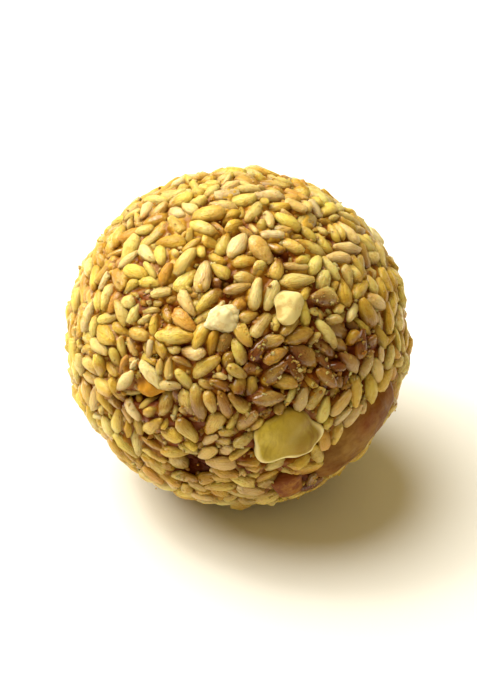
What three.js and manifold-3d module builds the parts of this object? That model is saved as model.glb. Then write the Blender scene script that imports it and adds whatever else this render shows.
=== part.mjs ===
// A sesame ladoo: a ball of sesame seeds rolled by hand while the jaggery syrup that binds them is warm,
// with pieces of cashew and a peanut half pressed into it. Millimetres, +Z up. The origin is the middle of
// the small flat spot that the ball rests on. A viewer stands at -Y and looks down on the ball by viewDown,
// and sees the cashew flake and the peanut half on its lower right.
import * as THREE from "three";
import { mergeVertices } from "three/addons/utils/BufferGeometryUtils.js";
import Module from "manifold-3d";

const wasm = await Module();
wasm.setup();

// Driving dimensions, over the seeds.
const ball = { width: 33, depth: 32.4, height: 31.2, restSpot: 10.5 };
const seed = { length: 3.1, width: 1.9, thickness: 1.05, proud: 0.65, count: 345 };
const seedKeel = 1.6; // how far a seed's root reaches into the binder
const fitGap = 0.3; // left all round a nut piece in its socket
const viewDown = THREE.MathUtils.degToRad(38);

// The binder under the seeds is a lumpy ellipsoid whose foot is cut off at the floor.
const meanRadius = (ball.width + ball.depth) / 4;
const footSink = (ball.restSpot / 2) ** 2 / (2 * meanRadius);
const semiHeight = (ball.height + footSink) / 2;
const centre = new THREE.Vector3(0, 0, ball.height - semiHeight);
const binderSemi = new THREE.Vector3(ball.width / 2, ball.depth / 2, semiHeight).subScalar(seed.proud);
const binderSteps = 3; // each edge of the icosahedron is cut this many times
const grit = 0.22; // height of the seed-sized bumps in the binder between the fused seeds

// The direction from the ball's middle to what the viewer sees this far right and up, in ball radii.
function seenAt(right, up) {
  const near = Math.sqrt(1 - right * right - up * up);
  return new THREE.Vector3(
    right,
    up * Math.sin(viewDown) - near * Math.cos(viewDown),
    up * Math.cos(viewDown) + near * Math.sin(viewDown),
  );
}

function towards(x, y, z) {
  return new THREE.Vector3(x, y, z).normalize();
}

// Swells and hollows left by the palms: rise in mm, spread in radians.
const handMarks = [
  { at: seenAt(-0.15, 0.85), rise: 0.45, spread: 0.4 },
  { at: seenAt(-0.8, 0.15), rise: 0.3, spread: 0.35 },
  { at: seenAt(0.42, -0.12), rise: -0.55, spread: 0.26 },
  { at: seenAt(0.6, 0.6), rise: -0.35, spread: 0.35 },
  { at: seenAt(0.1, -0.85), rise: 0.3, spread: 0.4 },
  { at: towards(0.3, 0.9, 0.1), rise: -0.4, spread: 0.4 },
  { at: towards(-0.6, 0.6, -0.4), rise: 0.4, spread: 0.45 },
];

// The nut pieces: size is length, width and thickness, proud is how far each stands above the binder, lean turns
// its long side from up the ball, a boxy under one squares its outline and a flat under one its thickness. Each of
// its lobes is how many swells its outline has, how high they are as a share, and how far round they start.
const nuts = [
  {
    name: "cashew_flake", at: seenAt(0.29, -0.59), size: [6.6, 5.7, 2.4], proud: 0.6, lean: -84,
    boxy: 1, flat: 0.55, lobes: [[3, 0.06, -135], [5, 0.045, 110]],
  },
  {
    name: "peanut_half", at: seenAt(0.705, -0.595), size: [11.6, 8.6, 5], proud: 0.85, lean: 55,
    boxy: 1, flat: 0.95, lobes: [[2, 0.04, 0], [3, 0.03, 40]],
  },
  {
    name: "cashew_chunk", at: towards(-0.55, 0.72, 0.42), size: [6.6, 4.8, 3], proud: 0.6, lean: 35,
    boxy: 0.7, flat: 0.6, lobes: [[3, 0.08, 10], [5, 0.04, 80]],
  },
  {
    name: "cashew_split", at: towards(0.62, 0.76, -0.18), size: [8, 5.6, 3], proud: 0.6, lean: 80,
    boxy: 0.9, flat: 0.8, lobes: [[2, 0.08, 0], [3, 0.08, 90]],
  },
];

// Crumbs of nut that stand out among the seeds, fused to the binder.
const crumbs = [
  { at: seenAt(0.29, 0.18), size: [3.5, 3.1, 1.7], lean: 40 },
  { at: seenAt(-0.09, 0.1), size: [3.7, 2.6, 1.6], lean: 60 },
  { at: seenAt(-0.515, -0.28), size: [3, 2.1, 1.2], lean: -98 },
  { at: seenAt(0.29, -0.845), size: [4.4, 3.5, 1.7], lean: 0 },
  { at: towards(0.1, 0.6, 0.75), size: [3.6, 2.8, 1.6], lean: 10 },
  { at: towards(-0.2, 0.95, -0.1), size: [3.9, 2.5, 1.6], lean: 120 },
  { at: towards(0.8, 0.4, 0.45), size: [3.2, 2.8, 1.7], lean: 80 },
  { at: towards(-0.85, 0.2, -0.3), size: [3.8, 2.6, 1.5], lean: 30 },
];
const crumbProud = 0.3; // how far the middle of a crumb stands above the binder

// The crease where the ball was pressed shut: a thin slit with no seeds across it.
const crease = { at: seenAt(-0.53, -0.345), length: 7.6, width: 0.9, depth: 2.2, lean: -114 };

// Small repeatable random numbers (mulberry32).
function randomFrom(start) {
  let state = start;
  return (low, high) => {
    state = (state + 0x6d2b79f5) | 0;
    let t = Math.imul(state ^ (state >>> 15), 1 | state);
    t = (t + Math.imul(t ^ (t >>> 7), 61 | t)) ^ t;
    return low + (high - low) * (((t ^ (t >>> 14)) >>> 0) / 4294967296);
  };
}

// The distance from the ball's middle to the binder's surface in a direction.
function binderRadius(direction) {
  const scaled = direction.clone().divide(binderSemi);
  let radius = 1 / scaled.length();
  for (const mark of handMarks) {
    const angle = direction.angleTo(mark.at);
    radius += mark.rise * Math.exp(-((angle / mark.spread) ** 2));
  }
  return radius;
}

// The matrix that stands a piece on the binder: its z points out, and its x is turned by lean from up the ball.
function standOn(direction, lean, height) {
  const out = direction.clone().divide(binderSemi).divide(binderSemi).normalize();
  const side = new THREE.Vector3(0, 0, 1).cross(out);
  if (side.length() < 0.05) side.set(1, 0, 0);
  side.normalize();
  const up = out.clone().cross(side);
  const along = up.multiplyScalar(Math.cos(lean)).addScaledVector(side, Math.sin(lean));
  const across = out.clone().cross(along);
  const place = direction.clone().multiplyScalar(binderRadius(direction)).add(centre);
  place.addScaledVector(out, height);
  return new THREE.Matrix4().makeBasis(along, across, out).setPosition(place);
}

function solidOf(geometry) {
  const bare = geometry.clone();
  bare.deleteAttribute("normal");
  bare.deleteAttribute("uv");
  const merged = mergeVertices(bare, 1e-4);
  return new wasm.Manifold(
    new wasm.Mesh({
      numProp: 3,
      vertProperties: merged.attributes.position.array,
      triVerts: new Uint32Array(merged.index.array),
    }),
  );
}

function geometryOf(solid) {
  const mesh = solid.getMesh();
  const geometry = new THREE.BufferGeometry();
  geometry.setAttribute("position", new THREE.BufferAttribute(mesh.vertProperties, 3));
  geometry.setIndex(new THREE.BufferAttribute(mesh.triVerts, 1));
  return geometry.toNonIndexed();
}

// Moves every vertex of a geometry as reshape says, with equal vertices moved alike.
function reshaped(geometry, reshape) {
  const places = geometry.attributes.position;
  const point = new THREE.Vector3();
  for (let i = 0; i < places.count; i++) {
    point.fromBufferAttribute(places, i);
    reshape(point);
    places.setXYZ(i, point.x, point.y, point.z);
  }
  return geometry;
}

// The binder: bumps of a seed's size run over it, from three waves that don't keep step.
function binderGeometry() {
  const waves = 2 * Math.PI / (1.6 * seed.length);
  return reshaped(new THREE.IcosahedronGeometry(1, binderSteps), (point) => {
    const direction = point.clone().normalize();
    const radius = binderRadius(direction);
    const [x, y, z] = direction.clone().multiplyScalar(radius * waves).toArray();
    const bump = Math.sin(x + 1.3 * z) * Math.sin(1.1 * y + 2) + Math.sin(1.2 * z - y) * Math.cos(x * 0.9);
    point.copy(direction).multiplyScalar(radius + (grit * bump) / 2).add(centre);
  });
}

// One seed, lying along x, blunt at one end and drawn to a point at the other: an outline of five points at its
// widest level, a ridge of two points above it and a keel sunk in the binder below it.
function seedGeometry() {
  const { length, width, thickness } = seed;
  const outline = [0, 1, 2, 3, 4].map((k) => {
    const turn = (k * 2 * Math.PI) / 5;
    const reach = Math.cos(turn) < -0.5 ? 1.15 : 1;
    return [Math.cos(turn) * reach * (length / 2), Math.sin(turn) * (width / 2) * 1.05, 0];
  });
  const ridge = [[0.12 * length, 0, thickness / 2], [-0.22 * length, 0, thickness / 2]];
  const keel = [-0.08 * length, 0, -seedKeel];
  const upper = [[0, 1, 5], [1, 6, 5], [1, 2, 6], [2, 3, 6], [3, 4, 6], [4, 5, 6], [4, 0, 5]];
  const under = outline.map((_, k) => [(k + 1) % 5, k, 7]);
  const geometry = new THREE.BufferGeometry();
  geometry.setAttribute("position", new THREE.Float32BufferAttribute([...outline, ...ridge, keel].flat(), 3));
  geometry.setIndex([...upper, ...under].flat());
  return geometry;
}

// Points along the middle of a lying seed, each with the seed's half width there.
const seedSpine = [
  { along: -0.4, half: 0.5 },
  { along: -0.14, half: 0.85 },
  { along: 0.12, half: 0.95 },
  { along: 0.38, half: 0.4 },
].map(({ along, half }) => ({ along: along * seed.length, half: (half * seed.width) / 2 }));

function spineOf(matrix) {
  return seedSpine.map(({ along, half }) => ({ point: new THREE.Vector3(along, 0, 0).applyMatrix4(matrix), half }));
}

// How far a piece's outline reaches at an angle round it, as a share of its ellipse.
function outlineReach({ lobes = [] }, turn) {
  const swell = ([count, height, start]) => height * Math.cos(count * turn + THREE.MathUtils.degToRad(start));
  return 1 + lobes.map(swell).reduce((sum, share) => sum + share, 0);
}

// Every outline that seeds keep clear of, with the matrix into its own frame. A nut piece keeps a gap round it.
const keptClear = [
  ...nuts.map((nut) => ({ ...nut, gap: fitGap + 0.1 })),
  { ...crease, size: [crease.length, crease.width, crease.depth], gap: fitGap },
  ...crumbs.map((crumb) => ({ ...crumb, gap: -0.2 })),
].map((piece) => ({ ...piece, inside: standOn(piece.at, THREE.MathUtils.degToRad(piece.lean), 0).invert() }));

// How far a seed's spine is from the nearest piece that it keeps clear of, less its own half width and the gap.
function roomBesidePieces(spine) {
  let room = Infinity;
  for (const piece of keptClear) {
    const [long, wide] = [piece.size[0] / 2, piece.size[1] / 2];
    for (const { point, half } of spine) {
      const local = point.clone().applyMatrix4(piece.inside);
      if (local.z < -piece.size[0]) continue;
      const reach = outlineReach(piece, Math.atan2(local.y, local.x));
      const share = Math.hypot(local.x / long, local.y / wide) / reach;
      const apart = (share - 1) * Math.hypot(local.x, local.y) / Math.max(share, 0.01);
      room = Math.min(room, apart - half - piece.gap);
    }
  }
  return room;
}

function roomBesideSeeds(spine, placed) {
  let room = Infinity;
  for (const other of placed) {
    if (other.spine[1].point.distanceTo(spine[1].point) > 1.6 * seed.length) continue;
    for (const a of other.spine) {
      for (const b of spine) room = Math.min(room, a.point.distanceTo(b.point) - a.half - b.half);
    }
  }
  return room;
}

// Seeds stand evenly over the ball on a golden spiral, each turned to where its neighbours leave most room. One
// that would cross a nut piece or the crease moves away from it, and is left out where it finds no room.
function placedSeeds() {
  const random = randomFrom(19);
  const placed = [];
  for (let i = 0; i < seed.count; i++) {
    const z = 1 - (2 * i + 1) / seed.count;
    const turn = i * Math.PI * (3 - Math.sqrt(5));
    const flat = Math.sqrt(1 - z * z);
    const spot = new THREE.Vector3(flat * Math.cos(turn), flat * Math.sin(turn), z);
    const drift = (0.1 * seed.length) / meanRadius;
    spot.add(new THREE.Vector3(random(-drift, drift), random(-drift, drift), random(-drift, drift))).normalize();
    const found = { scale: random(0.9, 1.08), roll: random(-0.3, 0.3), pitch: random(-0.15, 0.15), room: -Infinity };
    const height = random(0.05, 0.18);
    const firstHeading = random(0, Math.PI);
    const nearest = keptClear.reduce((a, b) => (spot.angleTo(a.at) < spot.angleTo(b.at) ? a : b));
    const away = spot.clone().sub(nearest.at).normalize();
    for (let step = 0; step < 6 && found.room < -0.25; step++) {
      const direction = spot.clone().addScaledVector(away, (step * 0.35) / meanRadius).normalize();
      for (let k = 0; k < 12; k++) {
        const matrix = standOn(direction, firstHeading + (k * Math.PI) / 6, height);
        const spine = spineOf(matrix);
        if (roomBesidePieces(spine) < 0) continue;
        const room = roomBesideSeeds(spine, placed);
        if (room > found.room) Object.assign(found, { matrix, spine, room });
      }
    }
    if (found.room > -0.6) placed.push(found);
  }
  return placed;
}

function seedSolids() {
  const shape = seedGeometry();
  return placedSeeds().map(({ matrix, scale, roll, pitch }) => {
    const tilt = new THREE.Matrix4().makeRotationFromEuler(new THREE.Euler(roll, pitch, 0));
    const size = new THREE.Matrix4().makeScale(scale, scale, scale);
    return solidOf(shape.clone().applyMatrix4(matrix.clone().multiply(tilt).multiply(size)));
  });
}

// A nut piece grown by margin on every side: a rounded chip with an uneven outline.
function nutGeometry(nut, margin) {
  const [length, width, thickness] = nut.size;
  const power = (share, exponent) => Math.sign(share) * Math.abs(share) ** exponent;
  const shape = reshaped(new THREE.SphereGeometry(1, 18, 9), (point) => {
    const reach = outlineReach(nut, Math.atan2(-point.z, point.x));
    const height = power(point.y, nut.flat);
    const [x, y] = [power(point.x, nut.boxy) * reach, power(-point.z, nut.boxy) * reach];
    point.set(x * (length / 2 + margin), y * (width / 2 + margin), height * (thickness / 2 + margin));
  });
  return shape.applyMatrix4(standOn(nut.at, THREE.MathUtils.degToRad(nut.lean), nut.proud - thickness / 2));
}

// A broken crumb: an icosahedron with its corners pulled in and out.
function crumbSolid({ at, size, lean }) {
  const shape = reshaped(new THREE.IcosahedronGeometry(1, 0), (point) => {
    const pull = 1 + 0.12 * Math.sin(5 * point.x + 3 * point.y + 7 * point.z + size[0]);
    point.set(point.x * size[0], point.y * size[1], point.z * size[2]).multiplyScalar(pull / 2);
  });
  return solidOf(shape.applyMatrix4(standOn(at, THREE.MathUtils.degToRad(lean), crumbProud)));
}

function creaseSolid() {
  const slit = new THREE.SphereGeometry(1, 10, 6);
  slit.scale(crease.length / 2, crease.width / 2, crease.depth / 2);
  return solidOf(slit.applyMatrix4(standOn(crease.at, THREE.MathUtils.degToRad(crease.lean), 0)));
}

function floorSolid() {
  const slab = new THREE.BoxGeometry(3 * ball.width, 3 * ball.width, ball.width);
  return solidOf(slab.translate(0, 0, -ball.width / 2));
}

function ladooGeometry() {
  let body = wasm.Manifold.union([solidOf(binderGeometry()), ...seedSolids(), ...crumbs.map(crumbSolid)]);
  body = body.subtract(creaseSolid());
  for (const nut of nuts) body = body.subtract(solidOf(nutGeometry(nut, fitGap)));
  return geometryOf(body.subtract(floorSolid()));
}

const seedGold = new THREE.MeshStandardMaterial({ color: 0xc9983f, roughness: 0.4, metalness: 0 });
const cashewIvory = new THREE.MeshStandardMaterial({ color: 0xcdb254, roughness: 0.5, metalness: 0 });
const peanutTan = new THREE.MeshStandardMaterial({ color: 0xa9783a, roughness: 0.45, metalness: 0 });

const ladoo = new THREE.Group();
const seedBall = new THREE.Mesh(ladooGeometry(), seedGold);
seedBall.name = "sesame_ball";
ladoo.add(seedBall);
for (const nut of nuts) {
  const piece = new THREE.Mesh(nutGeometry(nut, 0), nut.name.startsWith("peanut") ? peanutTan : cashewIvory);
  piece.name = nut.name;
  ladoo.add(piece);
}

export default ladoo;
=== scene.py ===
import math

import bpy
import numpy as np
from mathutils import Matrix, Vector


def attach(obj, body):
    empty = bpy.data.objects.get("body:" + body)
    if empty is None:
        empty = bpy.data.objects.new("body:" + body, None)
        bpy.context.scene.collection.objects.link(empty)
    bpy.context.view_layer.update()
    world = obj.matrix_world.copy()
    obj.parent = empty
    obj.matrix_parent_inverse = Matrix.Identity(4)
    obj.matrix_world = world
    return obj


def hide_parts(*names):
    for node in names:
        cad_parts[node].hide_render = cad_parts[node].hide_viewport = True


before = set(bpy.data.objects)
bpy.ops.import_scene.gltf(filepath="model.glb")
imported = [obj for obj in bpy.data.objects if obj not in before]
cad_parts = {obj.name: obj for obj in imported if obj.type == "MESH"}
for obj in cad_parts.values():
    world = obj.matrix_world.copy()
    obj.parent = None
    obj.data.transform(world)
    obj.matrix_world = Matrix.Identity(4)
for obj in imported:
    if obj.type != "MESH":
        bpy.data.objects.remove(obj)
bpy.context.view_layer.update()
mm = 0.001

# The ladoo's driving sizes, the same as in the part's source.
ball = {"width": 33 * mm, "depth": 32.4 * mm, "height": 31.2 * mm, "restSpot": 10.5 * mm}
seedSize = {"length": 3.1 * mm, "width": 1.9 * mm, "thickness": 1.05 * mm, "proud": 0.65 * mm}
viewDown = math.radians(38)

meanRadius = (ball["width"] + ball["depth"]) / 4
footSink = (ball["restSpot"] / 2) ** 2 / (2 * meanRadius)
semiHeight = (ball["height"] + footSink) / 2
ballCentre = np.array([0, 0, ball["height"] - semiHeight])
binderSemi = np.array([ball["width"] / 2, ball["depth"] / 2, semiHeight]) - seedSize["proud"]


def seenAt(right, up):
    # direction from the ball's middle to what the camera sees this far right and up, in ball radii
    near = math.sqrt(1 - right * right - up * up)
    return np.array([right, up * math.sin(viewDown) - near * math.cos(viewDown),
                     up * math.cos(viewDown) + near * math.sin(viewDown)])


def towards(x, y, z):
    return np.array([x, y, z]) / math.sqrt(x * x + y * y + z * z)


# Swells and hollows left by the palms: place, rise in mm, spread in radians.
handMarks = [
    (seenAt(-0.15, 0.85), 0.45, 0.4), (seenAt(-0.8, 0.15), 0.3, 0.35), (seenAt(0.42, -0.12), -0.55, 0.26),
    (seenAt(0.6, 0.6), -0.35, 0.35), (seenAt(0.1, -0.85), 0.3, 0.4), (towards(0.3, 0.9, 0.1), -0.4, 0.4),
    (towards(-0.6, 0.6, -0.4), 0.4, 0.45),
]
# Nut pieces, sizes in mm. Lobes are how many, how high and where they start in degrees.
nuts = {
    "cashew_flake": {
        "slot": "cashew", "flesh": "cashew_flesh", "at": seenAt(0.29, -0.59), "size": (6.6, 5.7, 2.4),
        "proud": 0.6, "lean": -84, "boxy": 1, "flat": 0.55, "lobes": [(3, 0.06, -135), (5, 0.045, 110)],
        "rimAt": 1.9, "dent": 0.12, "ripple": 0.045,
    },
    "peanut_half": {
        "slot": "peanut", "flesh": "peanut_flesh", "at": seenAt(0.705, -0.595), "size": (11.6, 8.6, 5),
        "proud": 0.85, "lean": 55, "boxy": 1, "flat": 0.95, "lobes": [(2, 0.04, 0), (3, 0.03, 40)],
        "rimAt": -1.57, "dent": 0.05, "ripple": 0.025,
    },
    "cashew_chunk": {
        "slot": "cashew", "flesh": "cashew_cut", "at": towards(-0.55, 0.72, 0.42), "size": (6.6, 4.8, 3),
        "proud": 0.6, "lean": 35, "boxy": 0.7, "flat": 0.6, "lobes": [(3, 0.08, 10), (5, 0.04, 80)],
        "rimAt": 0, "dent": 0.12, "ripple": 0.025,
    },
    "cashew_split": {
        "slot": "cashew", "flesh": "cashew_cut", "at": towards(0.62, 0.76, -0.18), "size": (8, 5.6, 3),
        "proud": 0.6, "lean": 80, "boxy": 0.9, "flat": 0.8, "lobes": [(2, 0.08, 0), (3, 0.08, 90)],
        "rimAt": 0, "dent": 0.12, "ripple": 0.025,
    },
}
# Crumbs of nut that stand out. Tone goes from reddish brown through amber to ivory, and rough is how lumpy
# each is. Room is how much of its size the seeds keep out of.
crumbs = [
    {"at": seenAt(0.29, 0.18), "size": (3.5, 3.1, 1.7), "lean": 40, "tone": 0.8, "rough": 0.08,
     "lobes": [(3, 0.07, 111)]},
    {"at": seenAt(-0.09, 0.1), "size": (3.7, 2.6, 1.6), "lean": 60, "tone": 1.0, "rough": 1.0},
    {"at": seenAt(-0.515, -0.28), "size": (3, 2.1, 1.2), "lean": -98, "tone": 0.34, "rough": 0.9,
     "room": 0.2, "sunk": 0.35},
    {"at": seenAt(0.29, -0.845), "size": (4.4, 3.5, 1.7), "lean": 0, "tone": 0.0, "rough": 0.2},
    {"at": towards(0.1, 0.6, 0.75), "size": (3.6, 2.8, 1.6), "lean": 10, "tone": 0.8, "rough": 0.6},
    {"at": towards(-0.2, 0.95, -0.1), "size": (3.9, 2.5, 1.6), "lean": 120, "tone": 0.5, "rough": 0.4},
    {"at": towards(0.8, 0.4, 0.45), "size": (3.2, 2.8, 1.7), "lean": 80, "tone": 0.9, "rough": 0.8},
    {"at": towards(-0.85, 0.2, -0.3), "size": (3.8, 2.6, 1.5), "lean": 30, "tone": 0.3, "rough": 0.4},
]
crumbForm = {
    "proud": 0.3 * mm,
    "room": 0.38,
    "cells": 24,  # along each edge of the six faces of its sphere
    "breaks": 11,  # flat breaks round it
    "breakReach": (0.72, 0.98),
    "sharpness": 12, "longest": 1.04,  # of the edges between them
    "lumps": [(0.075, 0.9), (0.03, 0.42), (0.018, 0.24)],  # height and size, in half sizes
}
crease = {
    "at": seenAt(-0.53, -0.345), "length": 7.6 * mm, "width": 0.9 * mm, "depth": 2.2 * mm, "lean": -114,
    "clear": (3.5, 0.34, 1.4),  # half sizes in mm of what the seeds keep out of
    "syrupDepth": 0.45, "syrupWidth": 0.7,  # of its own, where the syrup closes it
}

# Only looks: gaps between the seeds in the front, as right, up and radius in mm.
frontGaps = [
    (-0.262, -0.766, 1.95), (0.6, 0.02, 1.05), (0.02, -0.34, 0.41), (0.46, -0.86, 0.38), (-0.29, 0.56, 0.34),
    (-0.53, 0.43, 0.34), (-0.57, 0.11, 0.3), (-0.25, 0.1, 0.3), (-0.09, 0.65, 0.38), (-0.12, 0.3, 0.7),
    (0.22, 0.63, 0.41), (0.37, 0.71, 0.3), (0.24, 0.455, 0.34), (0.55, 0.58, 0.38), (0.87, 0.44, 0.45),
    (0.47, 0.33, 0.26), (0.7, 0.1, 0.75), (0.57, 0.05, 0.41), (-0.69, 0.4, 0.26), (-0.48, 0.3, 0.26),
    (-0.2, -0.46, 0.38), (-0.32, -0.42, 0.34), (0.22, -0.31, 0.3), (0.3, -0.3, 0.3), (0.59, -0.41, 0.34),
    (-0.67, -0.385, 0.45), (-0.56, -0.37, 0.42), (-0.45, -0.35, 0.42), (-0.36, -0.32, 0.36),
    (0.71, -0.34, 0.3), (0.06, -0.66, 0.26), (0.02, -0.73, 0.26), (-0.56, -0.51, 0.38), (0.42, 0.11, 0.26),
]
backGaps = {"tries": 34, "start": 15, "radius": (0.35, 0.9), "facing": 0.1}
# Places that the syrup has soaked, and painted shade on the dark band and on the seeds below the crease:
# right, up, spread in radians and how much.
frontSoakAndShade = [
    (0.08, -0.12, 0.2, 1), (0.32, -0.13, 0.19, 1), (0.58, -0.15, 0.24, 1), (0.7, -0.02, 0.17, 1),
    (0.02, -0.32, 0.2, 1), (0.26, -0.36, 0.14, 0.7), (-0.66, -0.37, 0.09, 1), (-0.5, -0.35, 0.07, 1),
    (-0.35, -0.33, 0.06, 1), (-0.29, -0.42, 0.14, 0.95), (-0.5, -0.44, 0.12, 0.6), (-0.32, -0.09, 0.06, 0.9),
    (-0.262, -0.766, 0.16, 1), (0.4, -0.86, 0.2, 1), (0.72, -0.5, 0.08, 0.9), (0.0, -0.62, 0.45, 0.3),
    (-0.11, 0.3, 0.1, 0.9), (0.245, 0.455, 0.07, 1), (0.47, 0.2, 0.09, 0.9), (0.75, 0.42, 0.09, 0.9),
]
soakAndShadeMarks = [(seenAt(right, up), spread, share) for right, up, spread, share in frontSoakAndShade]
soakAndShadeMarks += [(towards(0.7, 0.6, 0.3), 0.3, 0.9), (towards(-0.7, 0.3, -0.5), 0.35, 0.8)]
# Soaking in faint clouds, and painted shade where the seeds lie deeper and round the gaps: all of it darkens
# the seeds and the syrup.
soakAndShading = {
    "broad": 0.25, "broadSize": 9 * mm, "broadFrom": 0.35,  # faint clouds all over
    "low": 0.38, "lowFrom": 0.4,  # where the seeds lie deeper
    "gap": 0.65, "gapSpread": 1.2,  # in the gaps, and how far beyond their radius
}
# Groups of seeds lie a little deeper or higher than others.
seedGroups = {"size": 4.2 * mm, "start": 12, "depth": 0.26 * mm, "lowest": -2, "highest": 0.6}


def gapList():
    rng = np.random.default_rng(backGaps["start"])
    gaps = [(seenAt(right, up), radius * mm) for right, up, radius in frontGaps]
    for _ in range(backGaps["tries"]):
        spot, radius = rng.normal(size=3), rng.uniform(*backGaps["radius"])
        spot /= math.sqrt(spot @ spot)
        if spot @ seenAt(0, 0) < backGaps["facing"]:  # the side that the camera doesn't see
            gaps.append((spot, radius * mm))
    return gaps


gaps = gapList()


def unit(vectors):
    return vectors / np.linalg.norm(vectors, axis=-1, keepdims=True)


def angleTo(directions, at):
    return np.arccos(np.clip(directions @ at, -1, 1))


def fade(distance, spread):
    # 1 in the middle of a mark, falling smoothly to 0 outside it
    return np.exp(-((distance / spread) ** 2))


def binderRadius(directions):
    radius = 1 / np.linalg.norm(directions / binderSemi, axis=-1)
    for at, rise, spread in handMarks:
        radius = radius + rise * mm * fade(angleTo(directions, at), spread)
    return radius


def outlineReach(piece, turn):
    # how far a piece's outline reaches at an angle round it, as a share of its ellipse
    lobes = piece.get("lobes", [])
    return 1 + sum(high * np.cos(count * turn + math.radians(start)) for count, high, start in lobes)


def standOn(piece, height):
    # axes (as columns) and place of a piece on the binder, measured from the ball's middle
    lean = math.radians(piece["lean"])
    out = unit(piece["at"] / binderSemi ** 2)
    side = unit(np.cross((0, 0, 1), out))
    up = np.cross(out, side)
    along = up * math.cos(lean) + side * math.sin(lean)
    axes = np.stack([along, np.cross(out, along), out], axis=1)
    return axes, piece["at"] * binderRadius(piece["at"]) + out * height


def waves(points, size, start, count=7):
    # smooth repeatable unevenness round 0: plane waves about one size long, in random directions
    rng = np.random.default_rng(start)
    total = np.zeros(points.shape[:-1])
    for _ in range(count):
        way = unit(rng.normal(size=3)) * (2 * math.pi / (size * rng.uniform(0.7, 1.5)))
        total += np.sin(points @ way + rng.uniform(0, 2 * math.pi))
    return total / math.sqrt(count)


def ballWaves(directions, size, start, count=7):
    return waves(directions * meanRadius, size, start, count)


def outerRadius(directions):
    # the seeds' reach
    lumps = ballWaves(directions, seedGroups["size"], seedGroups["start"])
    lumps = np.clip(lumps, seedGroups["lowest"], seedGroups["highest"])
    return binderRadius(directions) + seedSize["proud"] + seedGroups["depth"] * lumps


def soakAndShadeAt(directions):
    # 0 where the seeds are clean, 1 where the syrup has soaked them, with painted shade where they lie
    # deeper, round the gaps and at the marks
    broad = ballWaves(directions, soakAndShading["broadSize"], 5) - soakAndShading["broadFrom"]
    low = -ballWaves(directions, seedGroups["size"], seedGroups["start"]) - soakAndShading["lowFrom"]
    soakShade = soakAndShading["broad"] * np.clip(broad, 0, 1) + soakAndShading["low"] * np.clip(low, 0, 1)
    for at, spread, share in soakAndShadeMarks:
        soakShade = np.maximum(soakShade, share * fade(angleTo(directions, at), spread))
    for at, radius in gaps:
        away = angleTo(directions, at) * meanRadius
        soakShade = np.maximum(soakShade, soakAndShading["gap"] * fade(away, soakAndShading["gapSpread"] * radius))
    return soakShade


nutFrames = {}
for name, nut in nuts.items():
    half = np.array(nut["size"]) * mm / 2
    axes, place = standOn(nut, nut["proud"] * mm - half[2])
    nutFrames[name] = {**nut, "axes": axes, "place": place, "half": half}


def linear(code):
    # a colour written as rrggbb, in the linear values that shaders take
    channels = [int(code[i:i + 2], 16) / 255 for i in (0, 2, 4)]
    return tuple(c / 12.92 if c < 0.04045 else ((c + 0.055) / 1.055) ** 2.4 for c in channels) + (1,)


def setInputs(node, inputs):
    # inputs by name or number, each a fixed value or linked from a socket
    for key, value in inputs.items():
        if isinstance(value, bpy.types.NodeSocket):
            node.id_data.links.new(value, node.inputs[key])
        else:
            node.inputs[key].default_value = value


def addNode(tree, kind, inputs=None, **settings):
    node = tree.nodes.new(kind)
    for key, value in settings.items():
        setattr(node, key, value)
    setInputs(node, inputs or {})
    return node


def addSocket(tree, kind, name, value=None, way="INPUT"):
    socket = tree.interface.new_socket(name, in_out=way, socket_type="NodeSocket" + kind)
    if value is not None:
        socket.default_value = value


def layOut(tree):
    # columns of five in the order that they were made, so that the tree can be read in the editor
    for number, node in enumerate(tree.nodes):
        node.location = (number // 5 * 240, number % 5 * -280)


def addMaterial(name):
    material = bpy.data.materials.new(name)
    material.use_nodes = True
    return material


def shaded(material, inputs):
    setInputs(material.node_tree.nodes["Principled BSDF"], inputs)
    layOut(material.node_tree)
    return material


def addObject(name, data):
    thing = bpy.data.objects.new(name, data)
    bpy.context.scene.collection.objects.link(thing)
    return thing


def aim(thing, place, target):
    thing.location = place
    thing.rotation_mode = "QUATERNION"
    thing.rotation_quaternion = (target - place).to_track_quat("-Z", "Y")


cameraSetup = {"distance": 0.236, "lens": 130, "lookAbove": -0.4 * mm, "nearest": 0.01}
lights = {
    "key": {"at": (-0.18, 0.1, 0.33), "size": 0.5, "power": 3.85, "color": (1, 0.975, 0.89)},
    "window": {"at": (-0.2, 0.06, 0.34), "size": 0.06, "power": 0.26, "color": (1, 1, 0.96)},
}
studio = {"color": (1, 0.78, 0.36, 1), "strength": 0.41}
floorForm = {"reach": 1.2, "color": (0.86, 0.855, 0.84, 1), "roughness": 0.6}


def addCamera():
    data = bpy.data.cameras.new("camera")
    data.lens = cameraSetup["lens"]
    data.clip_start = cameraSetup["nearest"]
    camera = addObject("camera", data)
    back = Vector((0, -math.cos(viewDown), math.sin(viewDown)))
    target = Vector(ballCentre) + Vector((0, 0, cameraSetup["lookAbove"]))
    aim(camera, target + back * cameraSetup["distance"], target)
    bpy.context.scene.camera = camera


def addLights():
    for name, setup in lights.items():
        data = bpy.data.lights.new(name, "AREA")
        data.shape = "DISK"
        data.size = setup["size"]
        data.energy = setup["power"]
        data.color = setup["color"]
        aim(addObject(name, data), Vector(setup["at"]), Vector(ballCentre))
    world = bpy.data.worlds.new("studio")
    world.use_nodes = True
    light = {"Color": studio["color"], "Strength": studio["strength"]}
    setInputs(world.node_tree.nodes["Background"], light)
    bpy.context.scene.world = world
    bpy.context.scene.view_settings.view_transform = "Standard"


def addFloor():
    mesh = bpy.data.meshes.new("floor")
    reach = floorForm["reach"]
    corners = [(-reach, -reach, 0), (reach, -reach, 0), (reach, reach, 0), (-reach, reach, 0)]
    mesh.from_pydata(corners, [], [(0, 1, 2, 3)])
    floor = addObject("floor", mesh)
    look = {"Base Color": floorForm["color"], "Roughness": floorForm["roughness"]}
    mesh.materials.append(shaded(addMaterial("pale_floor"), look))


addCamera()
addLights()
addFloor()
print("camera, lights and floor are in")


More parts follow.
